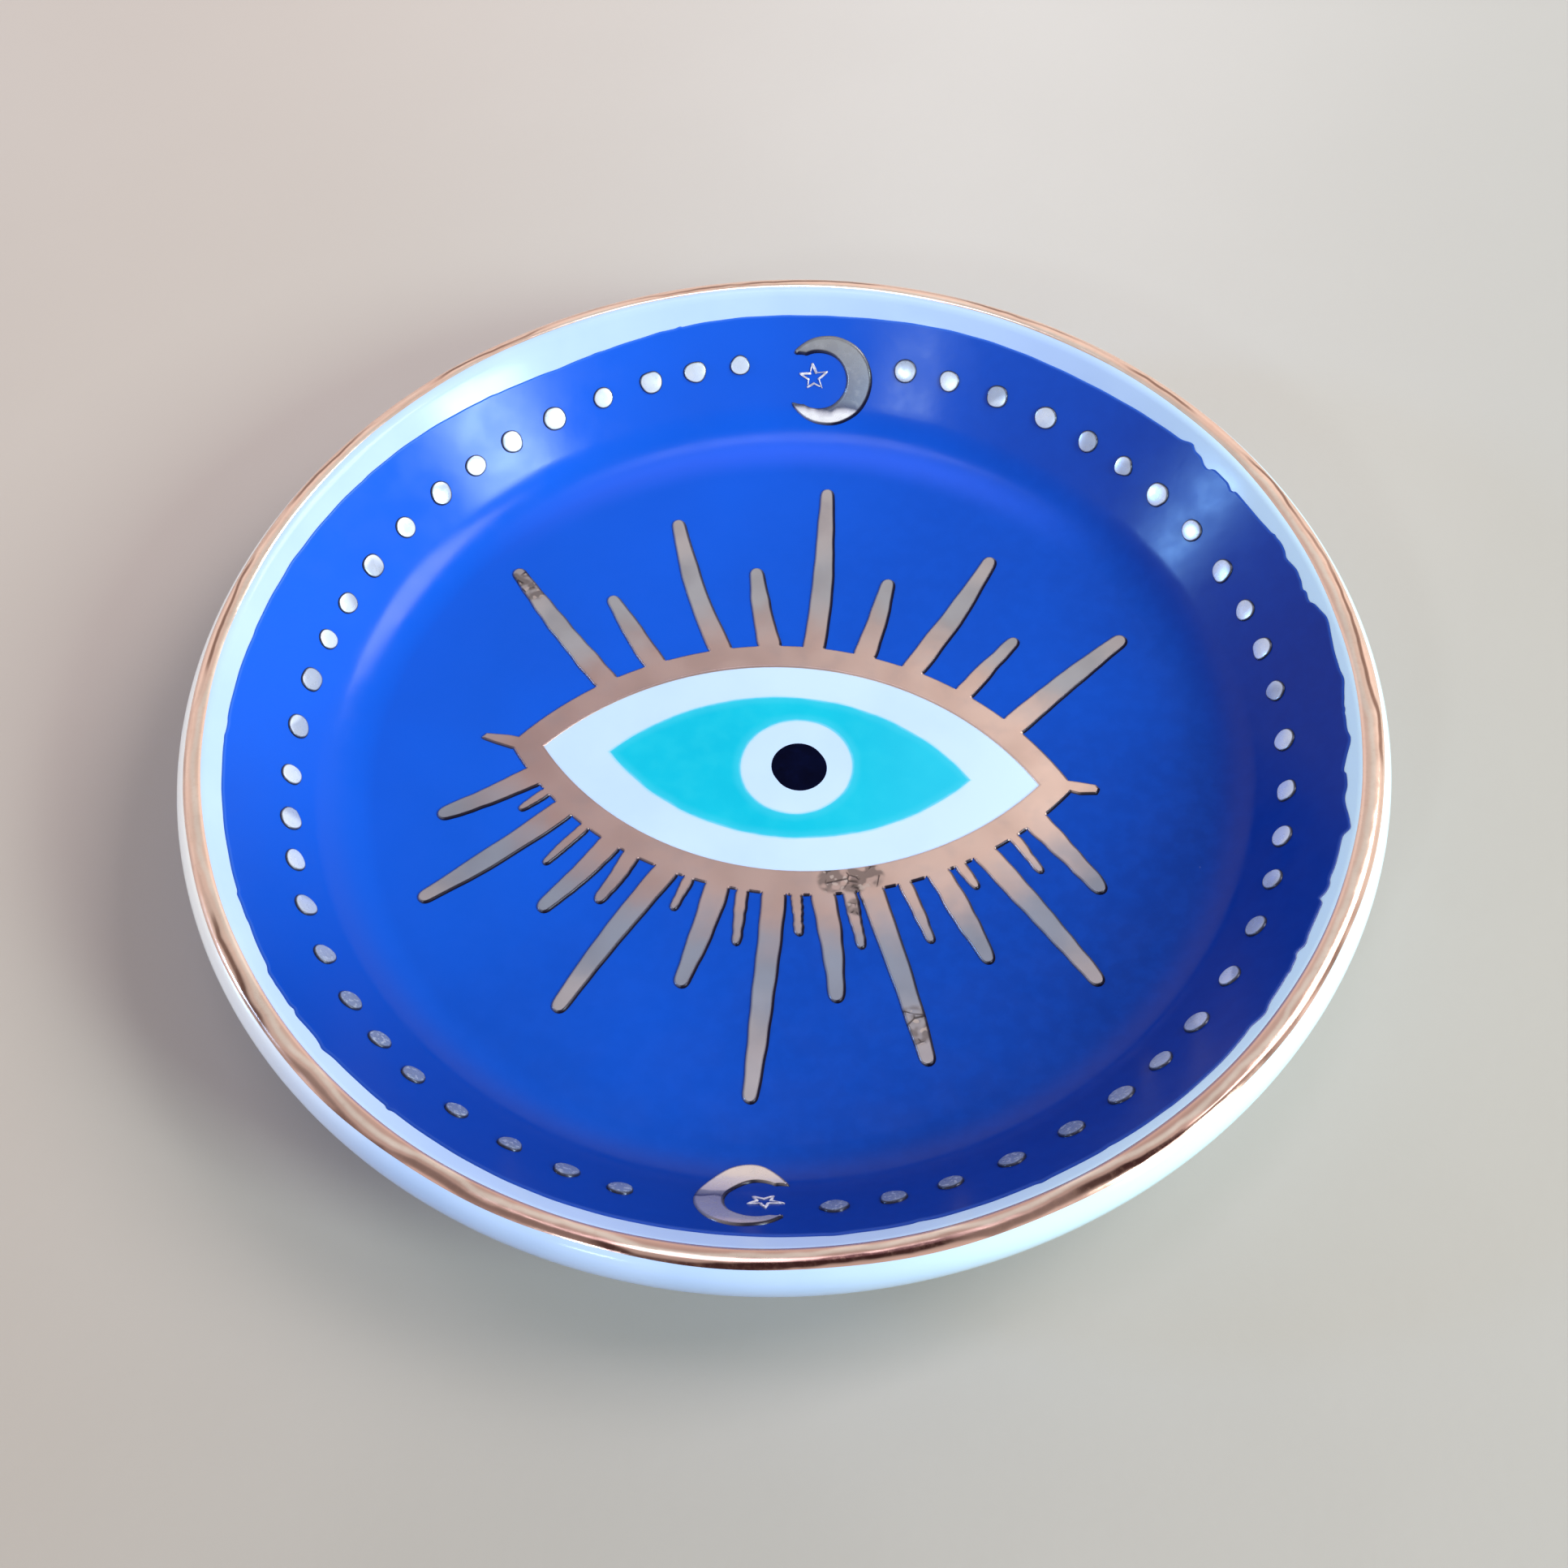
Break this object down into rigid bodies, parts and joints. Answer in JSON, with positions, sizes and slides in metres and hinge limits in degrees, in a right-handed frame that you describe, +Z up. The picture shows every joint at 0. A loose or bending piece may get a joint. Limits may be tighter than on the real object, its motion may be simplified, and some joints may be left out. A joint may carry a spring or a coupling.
{
  "type": "evil eye trinket dish",
  "caption": "Shallow round glazed trinket dish with a low foot, a rounded lip, and a painted evil eye with rays, dots and moons inside.",
  "frame": {"origin": "middle of the foot ring, on the plane the dish stands on", "axes": "+Z up through the open side of the dish, its turning axis; +X along the eye's long axis, to the right when the eye is read upright; +Y towards the upper moon"},
  "size_m": [0.1212, 0.1212, 0.0177],
  "materials": {
    "ceramic": "white gloss glaze",
    "clay": "bare fired clay",
    "cobalt": "cobalt blue gloss glaze",
    "eye_white": "white gloss glaze",
    "turquoise": "turquoise gloss glaze",
    "navy": "near-black navy gloss glaze",
    "rose_gold": "fired rose-gold metal lustre, gloss",
    "lustre": "fired pale gold metal lustre, satin",
    "silver": "fired silvery metal lustre, gloss"
  },
  "bodies": {
    "root": {"dish_body": "ceramic", "foot_ring": "clay", "rim_band": "rose_gold", "blue_field": "cobalt", "eye_white": "eye_white", "iris": "turquoise", "iris_ring": "eye_white", "pupil": "navy", "eyelid": "lustre", "lash_up_1": "lustre", "lash_up_2": "lustre", "lash_up_3": "lustre", "lash_up_4": "lustre", "lash_up_5": "lustre", "lash_up_6": "lustre", "lash_up_7": "lustre", "lash_up_8": "lustre", "lash_up_9": "lustre", "lash_low_1": "lustre", "lash_low_2": "lustre", "lash_low_3": "lustre", "lash_low_4": "lustre", "lash_low_5": "lustre", "lash_low_6": "lustre", "lash_low_7": "lustre", "lash_low_8": "lustre", "lash_low_9": "lustre", "lash_low_10": "lustre", "lash_low_11": "lustre", "lash_low_12": "lustre", "lash_low_13": "lustre", "lash_low_14": "lustre", "lash_low_15": "lustre", "lash_low_16": "lustre", "lash_low_17": "lustre", "lash_low_18": "lustre", "lash_low_19": "lustre", "lash_low_20": "lustre", "lash_low_21": "lustre", "dots_left": "silver", "dots_right": "silver", "moon_top": "lustre", "moon_bottom": "lustre", "star_top": "lustre", "star_bottom": "lustre"}
  },
  "joints": []
}
